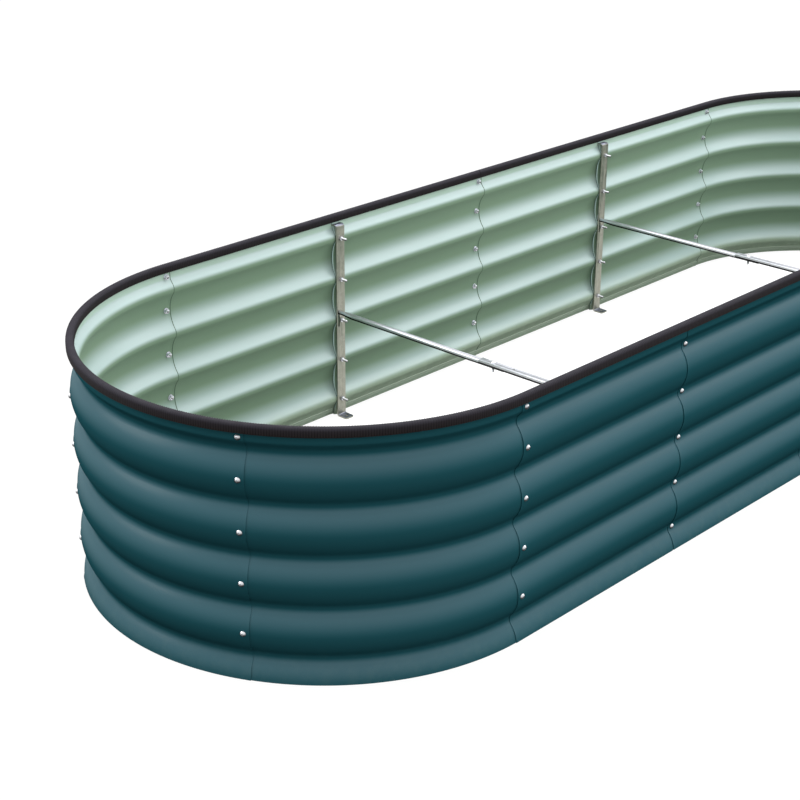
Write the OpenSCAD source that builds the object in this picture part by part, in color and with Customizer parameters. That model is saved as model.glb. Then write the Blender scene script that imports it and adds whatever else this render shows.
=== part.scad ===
// Oval raised garden bed, open at the top and the bottom.
// Fourteen corrugated steel wall panels are lapped and bolted into a long oval: four straight
// panels along each side and three curved panels round each end. A ribbed rubber strip covers
// the cut top edge. Two pairs of flat braces stand inside, on the long sides, and each pair is
// tied across the bed by a crossbar made of two half bars.
//
// X runs along the bed, Y across it and Z up. The origin is on the ground, under its middle.
// Every wall is drawn as the far wall, with its outside towards +Y, and is then turned into place.

/* [Bed] */
// Distance between two bolted laps on a long side
panel_pitch = 431; // [380:1:480]
// Radius of each round end, measured to the outer crests
end_radius = 428; // [380:1:470]
// How far the middle laps of a round end sit past its even thirds, in degrees
lap_turn = 2.8; // [0:0.1:4]

/* [Panel] */
// Height of a panel from the ground to its cut top edge
panel_h = 427; // [300:1:520]
// Thickness of the steel sheet
sheet_t = 0.8; // [0.6:0.1:1.2]
// Gap between the two sheets of a lap
lap_gap = 0.1; // [0.05:0.05:0.3]
// Width over which two panels lap
lap_w = 20; // [16:1:22]
// Distance between two valleys of the corrugation
corrugation_pitch = 86; // [80:0.5:86]
// Depth of the corrugation, from crest to valley
corrugation_depth = 16; // [13:0.5:18]
// Radius of the narrow valleys, on the outside
valley_r = 14; // [12:0.5:16]
// Height of the lowest valley above the ground
first_valley = 38; // [36:0.5:40]
// How far the upright lip at the top stands back from the crests
lip_inset = 5; // [4:0.5:7]
// Gap between the edge of a near panel and the step of the panel that passes under it
step_gap = 0.6; // [0.4:0.1:2]

/* [Edge trim] */
// Width of the rubber strip across the wall
trim_w = 14; // [12:0.5:18]
// Height of the rubber strip
trim_h = 16; // [14:0.5:20]
// Rubber above the cut edge
trim_roof = 3; // [2:0.5:5]
// Radius of the strip's round shoulders
trim_shoulder_r = 5.5; // [3:0.5:6]
// Radius of the strip's lower edges
trim_foot_r = 1.5; // [0.5:0.5:2]
// Gap where the two ends of the strip meet
trim_joint = 1; // [0.5:0.5:3]

/* [Lap bolts] */
// Diameter of every bolt in the wall
bolt_d = 5; // [4:0.5:6]
// Diameter of a bolt's round head
head_d = 9.5; // [8.5:0.5:10]
// Height of a bolt's round head
head_h = 3.2; // [2.5:0.1:4]
// Width of a nut across its flats
nut_af = 8; // [7:0.5:9]
// Height of a nut
nut_h = 4; // [3:0.5:5]
// Diameter of the washer under a nut
washer_d = 11; // [10:0.5:12]
// Thickness of the washer
washer_t = 1; // [0.8:0.1:1.5]
// How far a bolt reaches past its nut
bolt_tip = 2; // [1:0.5:4]
// How far a hole is wider than its bolt
hole_play = 0.6; // [0.4:0.1:1]
// How far a nut's bore is wider than its bolt
nut_play = 0.1; // [0.05:0.05:0.2]

/* [Braces] */
// Width of a brace
brace_w = 22; // [20:1:28]
// Thickness of a brace
brace_t = 3; // [2:0.5:4]
// Inner radius of a brace's two bends
brace_bend_r = 3; // [2:0.5:5]
// How far a brace ends below the top edge of the panels
brace_drop = 17; // [16:1:22]
// Length of the foot, measured from the wall side of the brace
foot_l = 27; // [22:1:35]
// Radius of the foot's corners
foot_corner_r = 4; // [2:0.5:6]
// Diameter of the stake hole in the foot
foot_hole_d = 6; // [5:0.5:8]
// Distance from the stake hole to the end of the foot
foot_hole_inset = 10; // [8:0.5:12]
// Width of the slot that holds the crossbar
slot_w = 5; // [4:0.5:6]
// Height of the slot
slot_h = 36; // [32:1:44]
// Height of the slot's middle above the middle valley
slot_rise = 4; // [2:0.5:5]
// Distance from the middle of the brace to the middle of the slot
slot_offset = 6; // [5.8:0.1:6.5]
// How far a brace bolt reaches past its nut
brace_bolt_tip = 13; // [6:0.5:16]

/* [Crossbars] */
// Width of the half bar on the far side
bar_w = 12; // [10:0.5:14]
// Height of the half bar on the far side
bar_h = 8; // [7:0.5:10]
// Wall of both half bars
bar_t = 1.5; // [1:0.1:2]
// Radius of the half bars' upper edges
bar_edge_r = 2.5; // [2:0.5:3]
// Gap between the two half bars where they lap
bar_gap = 0.25; // [0.1:0.05:0.5]
// Length over which the half bars lap
bar_lap = 60; // [40:1:90]
// Thickness of the flattened end
tongue_t = 3.5; // [2.5:0.5:3.5]
// Length of the flattened end in front of the brace
tongue_l = 12; // [8:1:20]
// Length over which a half bar widens from its flattened end
taper_l = 28; // [20:1:50]
// Height of the hook above the slot
hook_rise = 6; // [4:0.5:8]
// Gap round the hook
hook_gap = 0.3; // [0.2:0.05:0.4]
// Distance from the clamp bolt to the spare hole beside it
spare_hole_pitch = 50; // [35:1:70]
// Length of the clamp bolt under its head
clamp_l = 15; // [13:0.5:18]

/* [Hidden] */

panels_per_side = 4;
panels_per_end = 3;
half_side = panel_pitch * panels_per_side / 2;
// Laps of a long side that carry a brace, counted from the left
brace_laps = [for (t = [0 : panels_per_side]) if (t % 2 == 1) t];
plain_laps = [for (t = [0 : panels_per_side]) if (t % 2 == 0) t];

// One cut runs this far past the face that it leaves
cut_run = sheet_t;
// A straight sheet and a round one part by this much at the edge of their lap
lap_sag = pow(lap_w / 2, 2) / (2 * end_radius);
// The layers of a lap: 0 is the outer sheet and 1 the inner sheet
layer_step = sheet_t + lap_gap + lap_sag;
lap_t = sheet_t + layer_step;

// A valley arc and a crest arc touch where both have turned by this angle
flank = 2 * atan(corrugation_depth / (corrugation_pitch / 2));
crest_r = corrugation_pitch / 2 / sin(flank) - valley_r;
valley_steps = 8;
crest_steps = 12;
function valley_z(i) = first_valley + corrugation_pitch * i;
function crest_z(i) = valley_z(i) + corrugation_pitch / 2;
function crest_point(i, a) = [-crest_r * (1 - cos(a)), crest_z(i) + crest_r * sin(a)];
function valley_point(i, a) =
  [valley_r * (1 - cos(a)) - corrugation_depth, valley_z(i) + valley_r * sin(a)];
function lerp(a, b, share) = a + (b - a) * share;

// The flank over the highest valley runs straight up to the lip, which is at least as high as the
// washer of the top bolt and the edge strip need. The rest of the height is filled with valleys.
lip_rise = valley_point(0, flank)[1] - first_valley
  - (valley_point(0, flank)[0] + lip_inset) / tan(flank);
lip_room = lip_rise + washer_d + 2 * lap_gap + trim_h - trim_roof;
top_valley = floor((panel_h - first_valley - lip_room) / corrugation_pitch);
lip_z = valley_z(top_valley) + lip_rise;

// The crest under the lowest valley is cut by the ground
ground_angle = asin(-crest_z(-1) / crest_r);
ground_step_share = (ground_angle + flank) / (2 * flank);
ground_steps = ceil(crest_steps * (1 - ground_step_share));

// The outside of the wall from the ground to the top edge, as [distance from the crests, height]
wall_line = concat(
  [for (i = [0 : ground_steps - 1]) crest_point(-1, lerp(ground_angle, flank, i / ground_steps))],
  [for (v = [0 : top_valley]) each concat(
    [for (i = [0 : valley_steps]) valley_point(v, lerp(-flank, flank, i / valley_steps))],
    v == top_valley ? [] :
      [for (i = [1 : crest_steps - 1]) crest_point(v, lerp(-flank, flank, i / crest_steps))]
  )],
  [[-lip_inset, lip_z], [-lip_inset, panel_h]]
);

// Radii of the faces that other pieces rest on
valley_face = end_radius - corrugation_depth;
lip_face = end_radius - lip_inset;
inner_ridge = valley_face - lap_t;
// A round head rests on both flanks of a valley, a little above its bottom
head_stand_off = valley_r - sqrt(pow(valley_r, 2) - pow(head_d / 2, 2)) + lap_gap * 2;
// A washer rests inside a crest in the same way
washer_stand_off = crest_r - sqrt(pow(crest_r, 2) - pow(washer_d / 2, 2)) + lap_gap;
brace_back = inner_ridge - lap_gap;
brace_front = brace_back - brace_t;
hole_d = bolt_d + hole_play;

// The washer of the top bolt lies on the upright lip, just above its bend
top_bolt_z = lip_z + washer_d / 2 + lap_gap;
// Heights of the bolts of a plain lap, and how far each stands back from the crests
lap_bolt_z = concat([for (i = [0 : top_valley - 1]) crest_z(i)], [top_bolt_z]);
lap_bolt_inset = concat([for (i = [0 : top_valley - 1]) 0], [lip_inset]);
brace_bolt_z = [for (i = [0 : top_valley]) valley_z(i)];

trim_top = panel_h + trim_roof;
trim_bottom = trim_top - trim_h;
trim_centre = lip_face - lap_t / 2;
trim_slot = lap_t + lap_gap * 2;

middle_valley_z = valley_z(ceil(top_valley / 2));
brace_h = panel_h - brace_drop;
slot_top = middle_valley_z + slot_rise + slot_h / 2;
bar_top = slot_top - hook_gap;
bar_base = bar_top - bar_h;
// The near half bar is the wider one and laps over the far one
outer_bar_w = bar_w + 2 * (bar_t + bar_gap);
outer_bar_top = bar_top + bar_t + bar_gap;
clamp_hole_d = bolt_d + hole_play;

steel_green = [0.13, 0.33, 0.37];
rubber_black = [0.13, 0.12, 0.13];
zinc = [0.80, 0.81, 0.82];
galvanised = [0.62, 0.61, 0.57];

// Places of the laps. A long side is counted from the left, and an end by its angle from +Y.
function lap_x(t) = panel_pitch * t - half_side;
third = 180 / panels_per_end;
// The left end runs from the near side at 270 degrees, past the middle laps, to the far side
left_near_lap = 270 - third - lap_turn;
left_far_lap = 270 - 2 * third - lap_turn;

module far_side(x) { translate([x, 0, 0]) children(); }
module near_side(x) { translate([x, 0, 0]) mirror([0, 1, 0]) children(); }
module left_end(angle) { translate([-half_side, 0, 0]) rotate([0, 0, angle - 90]) children(); }
module right_end(angle) { rotate([0, 0, 180]) left_end(angle) children(); }

// The ten plain laps and the four laps with a brace
module at_plain_laps() {
  for (t = plain_laps) {
    far_side(lap_x(t)) children();
    near_side(lap_x(t)) children();
  }
  for (angle = [left_near_lap, left_far_lap]) {
    left_end(angle) children();
    right_end(angle) children();
  }
}
module at_brace_laps() {
  for (t = brace_laps) {
    far_side(lap_x(t)) children();
    near_side(lap_x(t)) children();
  }
}

// Section of the sheet, its outer line copied inwards by the thickness
module sheet_section(layer, thickness = sheet_t) {
  shift = end_radius - layer * layer_step;
  polygon(concat(
    [for (p = wall_line) [p[0] + shift, p[1]]],
    [for (i = [len(wall_line) - 1 : -1 : 0]) [wall_line[i][0] + shift - thickness, wall_line[i][1]]]
  ));
}

// Holes of one lap, drilled square to the wall
module plain_lap_holes() {
  for (i = [0 : top_valley]) {
    face = end_radius - lap_bolt_inset[i];
    translate([0, face + cut_run, lap_bolt_z[i]])
      rotate([90, 45, 0])
        cylinder(h = lap_t + 2 * cut_run, d = hole_d, $fn = 32);
  }
}
module brace_lap_holes() {
  for (z = brace_bolt_z)
    translate([0, valley_face + cut_run, z])
      rotate([90, 45, 0])
        cylinder(h = lap_t + 2 * cut_run, d = hole_d, $fn = 32);
}
module lap_holes(t) {
  if (t % 2 == 1) brace_lap_holes();
  else plain_lap_holes();
}

// Straight length of sheet between two places along the far wall
module straight_sheet(from, to, layer, thickness = sheet_t) {
  translate([from, 0, 0])
    rotate([90, 0, 90])
      linear_extrude(height = to - from) sheet_section(layer, thickness);
}

// Far side panels lie wholly in one layer, by turns outside and inside
module far_panel(n) {
  color(steel_green) difference() {
    straight_sheet(lap_x(n - 1) - lap_w / 2, lap_x(n) + lap_w / 2, (n + 1) % 2);
    far_side(lap_x(n - 1)) lap_holes(n - 1);
    far_side(lap_x(n)) lap_holes(n);
  }
}

// Near side panels overlap like tiles: each has its left end outside, and steps in by one
// sheet before its right end, to pass under the next panel
module near_panel(n) {
  step_to = lap_x(n) - lap_w / 2 - step_gap;
  step_from = step_to - 2 * lap_t;
  color(steel_green) mirror([0, 1, 0]) difference() {
    union() {
      straight_sheet(lap_x(n - 1) - lap_w / 2, step_to, 0);
      straight_sheet(step_from, step_to, 0, lap_t);
      straight_sheet(step_from, lap_x(n) + lap_w / 2, 1);
    }
    far_side(lap_x(n - 1)) lap_holes(n - 1);
    far_side(lap_x(n)) lap_holes(n);
  }
}

// Curved panel of the left end, drilled for a plain lap at both ends
module curved_panel(from, to, layer) {
  lap_angle = lap_w / 2 / end_radius * 180 / PI;
  color(steel_green) difference() {
    translate([-half_side, 0, 0])
      rotate([0, 0, from - lap_angle])
        rotate_extrude(angle = to - from + 2 * lap_angle, $fn = 180) sheet_section(layer);
    left_end(from) plain_lap_holes();
    left_end(to) plain_lap_holes();
  }
}

// Section of the rubber strip: a channel, open downwards, with round shoulders
module trim_section() {
  half_w = trim_w / 2;
  shoulder = trim_shoulder_r;
  foot = trim_foot_r;
  difference() {
    polygon(concat(
      [for (a = [0 : 15 : 90]) [half_w - shoulder * (1 - cos(a)), trim_top - shoulder * (1 - sin(a))]],
      [for (a = [90 : 15 : 180]) [shoulder * (1 + cos(a)) - half_w, trim_top - shoulder * (1 - sin(a))]],
      [for (a = [180 : 30 : 270]) [foot * (1 + cos(a)) - half_w, trim_bottom + foot * (1 + sin(a))]],
      [for (a = [270 : 30 : 360]) [half_w - foot * (1 - cos(a)), trim_bottom + foot * (1 + sin(a))]]
    ));
    translate([-trim_slot / 2, trim_bottom - trim_roof])
      square([trim_slot, panel_h + lap_gap - trim_bottom + trim_roof]);
  }
}
module trim_run(from, to) {
  translate([from, 0, 0])
    rotate([90, 0, 90])
      linear_extrude(height = to - from) translate([trim_centre, 0]) trim_section();
}
// Length of the strip along the far side, where its two ends meet
module trim_far_side() {
  color(rubber_black) union() {
    trim_run(-half_side, -trim_joint / 2);
    trim_run(trim_joint / 2, half_side);
  }
}
module trim_near_side() {
  color(rubber_black) mirror([0, 1, 0]) trim_run(-half_side, half_side);
}
// Length of the strip round a quarter of the bed, from the far side to the left tip
module trim_quarter() {
  color(rubber_black) translate([-half_side, 0, 0])
    rotate([0, 0, 90])
      rotate_extrude(angle = 90, $fn = 180) translate([trim_centre, 0]) trim_section();
}

// Pieces of a bend: a quarter ring between an inner and an outer radius
module bend_section(r_in, r_out) {
  intersection() {
    difference() {
      circle(r = r_out, $fn = 48);
      circle(r = r_in, $fn = 48);
    }
    square(r_out);
  }
}

// Side view of a brace, as [distance from the bed's middle line, height]: a foot on the ground
// that points inwards, the upright, and a short arm at the top that points out to the lip
module brace_section() {
  bend_out = brace_bend_r + brace_t;
  foot_end = brace_back - foot_l;
  arm_end = lip_face - lap_t - lap_gap;
  translate([foot_end, 0]) square([foot_l - bend_out, brace_t]);
  translate([brace_back - bend_out, bend_out]) mirror([0, 1]) bend_section(brace_bend_r, bend_out);
  translate([brace_front, bend_out]) square([brace_t, brace_h - 2 * bend_out]);
  translate([brace_front + bend_out, brace_h - bend_out])
    mirror([1, 0]) bend_section(brace_bend_r, bend_out);
  translate([brace_front + bend_out, brace_h - brace_t])
    square([arm_end - brace_front - bend_out, brace_t]);
}

// Outline of the foot from above, cut off its square blank
module foot_corners() {
  foot_end = brace_back - foot_l;
  r = foot_corner_r;
  for (side = [-1, 1])
    translate([side * (brace_w / 2 - r), foot_end + r, -cut_run]) difference() {
      translate([side > 0 ? 0 : -2 * r, -2 * r, 0]) cube([2 * r, 2 * r, brace_t + 2 * cut_run]);
      cylinder(h = brace_t + 2 * cut_run, r = r, $fn = 32);
    }
}

// Brace of a far lap. The near braces are its mirror image, so that both slots face each other.
module brace() {
  foot_end = brace_back - foot_l;
  slot_z = middle_valley_z + slot_rise;
  straight_slot = (slot_h - slot_w) / 2;
  color(galvanised) difference() {
    translate([-brace_w / 2, 0, 0])
      rotate([90, 0, 90]) linear_extrude(height = brace_w) brace_section();
    for (z = brace_bolt_z)
      translate([0, brace_back + cut_run, z])
        rotate([90, 0, 0]) cylinder(h = brace_t + 2 * cut_run, d = hole_d, $fn = 32);
    translate([-slot_offset - slot_w / 2, brace_front - cut_run, slot_z - straight_slot])
      cube([slot_w, brace_t + 2 * cut_run, 2 * straight_slot]);
    for (end = [-1, 1])
      translate([-slot_offset, brace_back + cut_run, slot_z + end * straight_slot])
        rotate([90, 0, 0]) cylinder(h = brace_t + 2 * cut_run, d = slot_w, $fn = 32);
    translate([0, foot_end + foot_hole_inset, -cut_run])
      cylinder(h = brace_t + 2 * cut_run, d = foot_hole_d, $fn = 32);
    foot_corners();
  }
}

// Section of a half bar before it is hollowed, with round upper edges
module bar_section(width, height) {
  half_w = width / 2;
  r = bar_edge_r;
  polygon(concat(
    [[-half_w, 0]],
    [for (a = [180 : -15 : 90]) [r * (1 + cos(a)) - half_w, height - r * (1 - sin(a))]],
    [for (a = [90 : -15 : 0]) [half_w - r * (1 - cos(a)), height - r * (1 - sin(a))]],
    [[half_w, 0]]
  ));
}

// Half bar of the far side, lying along Y: a channel that is open underneath and tapers to a
// flattened end, which is cut into a hook that rises behind the brace
module half_bar(width, height, top) {
  base = top - height;
  back = -bar_lap / 2;
  tongue_start = brace_front - hook_gap - tongue_l;
  taper_start = tongue_start - taper_l;
  hook_front = brace_back + hook_gap;
  hook_back = hook_front + tongue_t;
  // The two lines of the taper, drawn on to the back, stand this far apart there
  spread = tongue_t + (width - tongue_t) * (tongue_start - back + bar_t) / taper_l;
  inner_w = width - 2 * bar_t;
  difference() {
    union() {
      intersection() {
        translate([0, tongue_start + tongue_t, base])
          rotate([90, 0, 0])
            linear_extrude(height = tongue_start + tongue_t - back) bar_section(width, height);
        translate([0, 0, base - bar_t]) linear_extrude(height = height + 2 * bar_t)
          polygon([
            [-spread / 2, back - bar_t], [-tongue_t / 2, tongue_start],
            [tongue_t / 2, tongue_start], [spread / 2, back - bar_t]
          ]);
      }
      translate([-tongue_t / 2, 0, 0]) rotate([90, 0, 90]) linear_extrude(height = tongue_t)
        polygon([
          [tongue_start - tongue_t, bar_base], [hook_back, bar_base],
          [hook_back, slot_top + hook_rise], [hook_front, slot_top + hook_rise],
          [hook_front, bar_top], [tongue_start - tongue_t, bar_top]
        ]);
    }
    // The hollow ends where the two walls of the taper meet
    translate([0, 0, base - bar_t]) linear_extrude(height = height)
      polygon([
        [-inner_w / 2, back - bar_t], [-inner_w / 2, taper_start],
        [0, tongue_start - tongue_t],
        [inner_w / 2, taper_start], [inner_w / 2, back - bar_t]
      ]);
    children();
  }
}

module clamp_hole(y) {
  translate([0, y, bar_base]) cylinder(h = outer_bar_top - bar_base + bar_t, d = clamp_hole_d, $fn = 32);
}
module far_half_bar() {
  color(zinc) translate([-slot_offset, 0, 0])
    half_bar(bar_w, bar_h, bar_top) clamp_hole(0);
}
module near_half_bar() {
  color(zinc) translate([-slot_offset, 0, 0]) mirror([0, 1, 0])
    half_bar(outer_bar_w, bar_h, outer_bar_top) {
      clamp_hole(0);
      clamp_hole(spare_hole_pitch);
    }
}

// Bolt along +Z, its head's flat underside at the origin and its head upwards
module bolt(shank_l) {
  dome_r = (pow(head_d / 2, 2) + pow(head_h, 2)) / (2 * head_h);
  rotate_extrude($fn = 48) intersection() {
    union() {
      translate([0, head_h - dome_r]) circle(r = dome_r, $fn = 96);
      translate([0, -shank_l]) square([bolt_d / 2, shank_l + head_h / 2]);
    }
    union() {
      square([head_d / 2, head_h]);
      translate([0, -shank_l]) square([bolt_d / 2, shank_l + head_h / 2]);
    }
  }
}
// Nut along +Z from the origin
module nut() {
  difference() {
    cylinder(h = nut_h, d = nut_af / cos(30), $fn = 6);
    translate([0, 0, -cut_run]) cylinder(h = nut_h + 2 * cut_run, d = bolt_d + nut_play, $fn = 32);
  }
}
module washer() {
  difference() {
    cylinder(h = washer_t, d = washer_d, $fn = 48);
    translate([0, 0, -cut_run]) cylinder(h = washer_t + 2 * cut_run, d = hole_d, $fn = 32);
  }
}
// Turns a fastener drawn along +Z so that it points out through the far wall
module outwards() { rotate([-90, 0, 0]) children(); }
module inwards() { rotate([90, 0, 0]) children(); }

// Face of the washer, of the nut and of the bolt's end, for each bolt of a plain lap
function crest_stand_off(i) = lap_bolt_inset[i] == 0 ? washer_stand_off : lap_gap;
function washer_face(i) = end_radius - lap_bolt_inset[i] - lap_t - crest_stand_off(i);
function lap_shank(i) = lap_t + crest_stand_off(i) + washer_t + nut_h + bolt_tip;

module lap_bolts() {
  color(zinc) at_plain_laps()
    for (i = [0 : top_valley])
      translate([0, end_radius - lap_bolt_inset[i], lap_bolt_z[i]]) outwards() bolt(lap_shank(i));
}
module lap_washers() {
  color(zinc) at_plain_laps()
    for (i = [0 : top_valley])
      translate([0, washer_face(i), lap_bolt_z[i]]) inwards() washer();
}
module lap_nuts() {
  color(zinc) at_plain_laps()
    for (i = [0 : top_valley])
      translate([0, washer_face(i) - washer_t, lap_bolt_z[i]]) inwards() nut();
}
module brace_bolts() {
  shank = head_stand_off + valley_face - brace_front + nut_h + brace_bolt_tip;
  color(zinc) at_brace_laps()
    for (z = brace_bolt_z)
      translate([0, valley_face + head_stand_off, z]) outwards() bolt(shank);
}
module brace_nuts() {
  color(zinc) at_brace_laps()
    for (z = brace_bolt_z) translate([0, brace_front, z]) inwards() nut();
}
module clamp_bolts() {
  color(zinc) for (t = brace_laps)
    translate([lap_x(t) - slot_offset, 0, outer_bar_top]) bolt(clamp_l);
}
module clamp_nuts() {
  color(zinc) for (t = brace_laps)
    translate([lap_x(t) - slot_offset, 0, bar_top - bar_t - nut_h]) nut();
}

near_panel(1);  // panel_near_1
near_panel(2);  // panel_near_2
near_panel(3);  // panel_near_3
near_panel(4);  // panel_near_4
far_panel(1);  // panel_far_1
far_panel(2);  // panel_far_2
far_panel(3);  // panel_far_3
far_panel(4);  // panel_far_4
curved_panel(left_near_lap, 270, 1);  // panel_left_near
curved_panel(left_far_lap, left_near_lap, 0);  // panel_left_middle
curved_panel(90, left_far_lap, 1);  // panel_left_far
rotate([0, 0, 180]) curved_panel(left_near_lap, 270, 0);  // panel_right_far
rotate([0, 0, 180]) curved_panel(left_far_lap, left_near_lap, 1);  // panel_right_middle
rotate([0, 0, 180]) curved_panel(90, left_far_lap, 0);  // panel_right_near
trim_far_side();  // edge_trim_far
trim_near_side();  // edge_trim_near
trim_quarter();  // edge_trim_left_far
mirror([0, 1, 0]) trim_quarter();  // edge_trim_left_near
mirror([1, 0, 0]) trim_quarter();  // edge_trim_right_far
rotate([0, 0, 180]) trim_quarter();  // edge_trim_right_near
far_side(lap_x(brace_laps[0])) brace();  // brace_far_left
far_side(lap_x(brace_laps[1])) brace();  // brace_far_right
near_side(lap_x(brace_laps[0])) brace();  // brace_near_left
near_side(lap_x(brace_laps[1])) brace();  // brace_near_right
far_side(lap_x(brace_laps[0])) far_half_bar();  // crossbar_left_far_half
far_side(lap_x(brace_laps[0])) near_half_bar();  // crossbar_left_near_half
far_side(lap_x(brace_laps[1])) far_half_bar();  // crossbar_right_far_half
far_side(lap_x(brace_laps[1])) near_half_bar();  // crossbar_right_near_half
clamp_bolts();
clamp_nuts();
lap_bolts();
lap_washers();
lap_nuts();
brace_bolts();
brace_nuts();
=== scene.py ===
from math import atan, cos, pi, radians, sin, sqrt

import bmesh
import bpy
import numpy as np
from mathutils import Matrix, Vector


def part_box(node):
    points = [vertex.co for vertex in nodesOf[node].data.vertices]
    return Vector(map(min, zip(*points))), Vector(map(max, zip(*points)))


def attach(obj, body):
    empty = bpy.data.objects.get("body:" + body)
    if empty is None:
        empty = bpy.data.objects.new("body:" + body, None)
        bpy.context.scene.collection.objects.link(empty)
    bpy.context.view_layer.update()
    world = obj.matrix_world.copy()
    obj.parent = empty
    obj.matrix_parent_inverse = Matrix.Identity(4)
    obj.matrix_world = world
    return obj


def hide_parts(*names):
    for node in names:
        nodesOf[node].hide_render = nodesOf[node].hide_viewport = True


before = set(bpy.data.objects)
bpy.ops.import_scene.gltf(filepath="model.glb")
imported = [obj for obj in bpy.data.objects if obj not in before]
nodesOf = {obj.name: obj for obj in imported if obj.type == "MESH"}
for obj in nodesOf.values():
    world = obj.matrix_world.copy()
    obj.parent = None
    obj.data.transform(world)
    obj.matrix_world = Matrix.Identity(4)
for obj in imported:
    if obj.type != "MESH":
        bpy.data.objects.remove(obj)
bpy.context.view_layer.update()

mm = 0.001

# The same sizes as the part's source, in millimetres
bed = {
    "panelPitch": 431.0, "endRadius": 428.0, "lapTurn": 2.8, "lapWidth": 20.0,
    "sheet": 0.8, "lapGap": 0.1, "topEdge": 427.0, "lipInset": 5.0, "lipBend": 3.0,
    "pitch": 86.0, "depth": 16.0, "valleyRadius": 14.0, "firstValley": 38.0, "valleys": 5,
}
halfSide = bed["panelPitch"] * 2
halfLap = bed["lapWidth"] / 2
lapSag = halfLap ** 2 / (2 * bed["endRadius"])
layerStep = bed["sheet"] + bed["lapGap"] + lapSag
lapThick = bed["sheet"] + layerStep
nearLap = 210.0 - bed["lapTurn"]
farLap = 150.0 - bed["lapTurn"]
flank = 2 * atan(bed["depth"] / (bed["pitch"] / 2))
crestRadius = bed["pitch"] / 2 / sin(flank) - bed["valleyRadius"]
valleyHeights = [bed["firstValley"] + bed["pitch"] * i for i in range(bed["valleys"])]
crestHeights = [z + bed["pitch"] / 2 for z in valleyHeights[:-1]]


# Puts a new object into the scene
def addObject(name, data):
    obj = bpy.data.objects.new(name, data)
    bpy.context.scene.collection.objects.link(obj)
    return obj


camera = {
    "place": (-2.72253837, -1.90769429, 1.43948883), "lens": 77.57517, "sensor": 36.0, "clipEnd": 60.0,
    "right": (0.68595962, -0.72762170, 0.00510587), "up": (0.28523495, 0.27534518, 0.91805558),
}


# Camera axes are three unit vectors; the third, out of the picture, is right times up
def buildCamera():
    data = bpy.data.cameras.new("camera")
    data.lens = camera["lens"]
    data.sensor_width = camera["sensor"]
    data.clip_end = camera["clipEnd"]
    obj = addObject("camera", data)
    right = np.array(camera["right"])
    right /= np.linalg.norm(right)
    up = np.array(camera["up"])
    up -= right * (up @ right)
    up /= np.linalg.norm(up)
    turn = np.eye(4)
    turn[:3, 0], turn[:3, 1], turn[:3, 2] = right, up, np.cross(right, up)
    turn[:3, 3] = camera["place"]
    obj.matrix_world = Matrix(turn.tolist())
    bpy.context.scene.camera = obj


buildCamera()
bpy.context.scene.view_settings.view_transform = "Standard"
print("camera done")


# Feeds an input: another node's output is linked to it, a number or a colour is set on it
def feed(tree, value, socket):
    if isinstance(value, bpy.types.NodeSocket):
        tree.links.new(value, socket)
    elif socket.type == "RGBA":
        socket.default_value = (*value, 1)
    else:
        socket.default_value = value


# Feeds a node's inputs by name
def feedAll(tree, node, values):
    for name, value in values.items():
        feed(tree, value, node.inputs[name])


# Adds a node; each value goes to the node's own setting of that name, or else to its input of that name
def addNode(tree, kind, **values):
    node = tree.nodes.new(kind)
    for name, value in values.items():
        if hasattr(node, name):
            setattr(node, name, value)
        else:
            feed(tree, value, node.inputs[name])
    return node


# One step of arithmetic on one or two values
def mathNode(tree, operation, *values, clamp=False):
    node = addNode(tree, "ShaderNodeMath", operation=operation, use_clamp=clamp)
    for value, socket in zip(values, node.inputs):
        feed(tree, value, socket)
    return node.outputs[0]


# The product of two values
def times(tree, first, second):
    return mathNode(tree, "MULTIPLY", first, second)


# The first colour at share 0, the second at share 1
def mixColour(tree, share, first, second):
    node = addNode(tree, "ShaderNodeMix", data_type="RGBA")
    for value, socket in zip((share, first, second), (node.inputs[0], node.inputs[6], node.inputs[7])):
        feed(tree, value, socket)
    return node.outputs[2]


# Goes from outLow at low to outHigh at high, by a smooth step or a straight line, and stays flat outside
def mapRange(tree, value, low, high, outLow=0.0, outHigh=1.0, smooth=True):
    node = addNode(tree, "ShaderNodeMapRange", interpolation_type="SMOOTHSTEP" if smooth else "LINEAR")
    for given, socket in zip((value, low, high, outLow, outHigh), node.inputs):
        feed(tree, given, socket)
    return node.outputs[0]


# The third number of a vector: how high a point lies, or how far a direction looks up
def upPart(tree, vector):
    return addNode(tree, "ShaderNodeSeparateXYZ", Vector=vector).outputs[2]


# How far a face looks up, by its world normal: 1 up, 0 upright, -1 down
def lookingUp(tree):
    return upPart(tree, addNode(tree, "ShaderNodeNewGeometry").outputs["Normal"])


# A noise between 0 and 1; its grain is the scale per metre, the detail and the roughness
def noiseNode(tree, coords, grain):
    node = addNode(tree, "ShaderNodeTexNoise", Vector=coords)
    feedAll(tree, node, dict(zip(("Scale", "Detail", "Roughness"), grain)))
    return node.outputs[0]


# A colour or a vector times a number
def scaled(tree, vector, share):
    return addNode(tree, "ShaderNodeVectorMath", operation="SCALE", Vector=vector, Scale=share).outputs[0]


# Starts a node group; its inputs and outputs are given as kinds by name. A number not fed is 0.
def startGroup(name, inputs, outputs):
    tree = bpy.data.node_groups.new(name, "ShaderNodeTree")
    for way, sockets in (("INPUT", inputs), ("OUTPUT", outputs)):
        for label, kind in sockets.items():
            tree.interface.new_socket(label, in_out=way, socket_type="NodeSocket" + kind)
    return tree, addNode(tree, "NodeGroupInput").outputs, addNode(tree, "NodeGroupOutput").inputs


coatLook = {
    "peel": (700.0, 3.0, 0.6), "bump": (0.0002, 0.25), "blotch": (5.0, 4.0, 0.55), "glossSwing": 0.12,
    "dustRoughens": 0.3, "clearRoughness": 0.32, "clearIor": 1.7,
}


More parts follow.
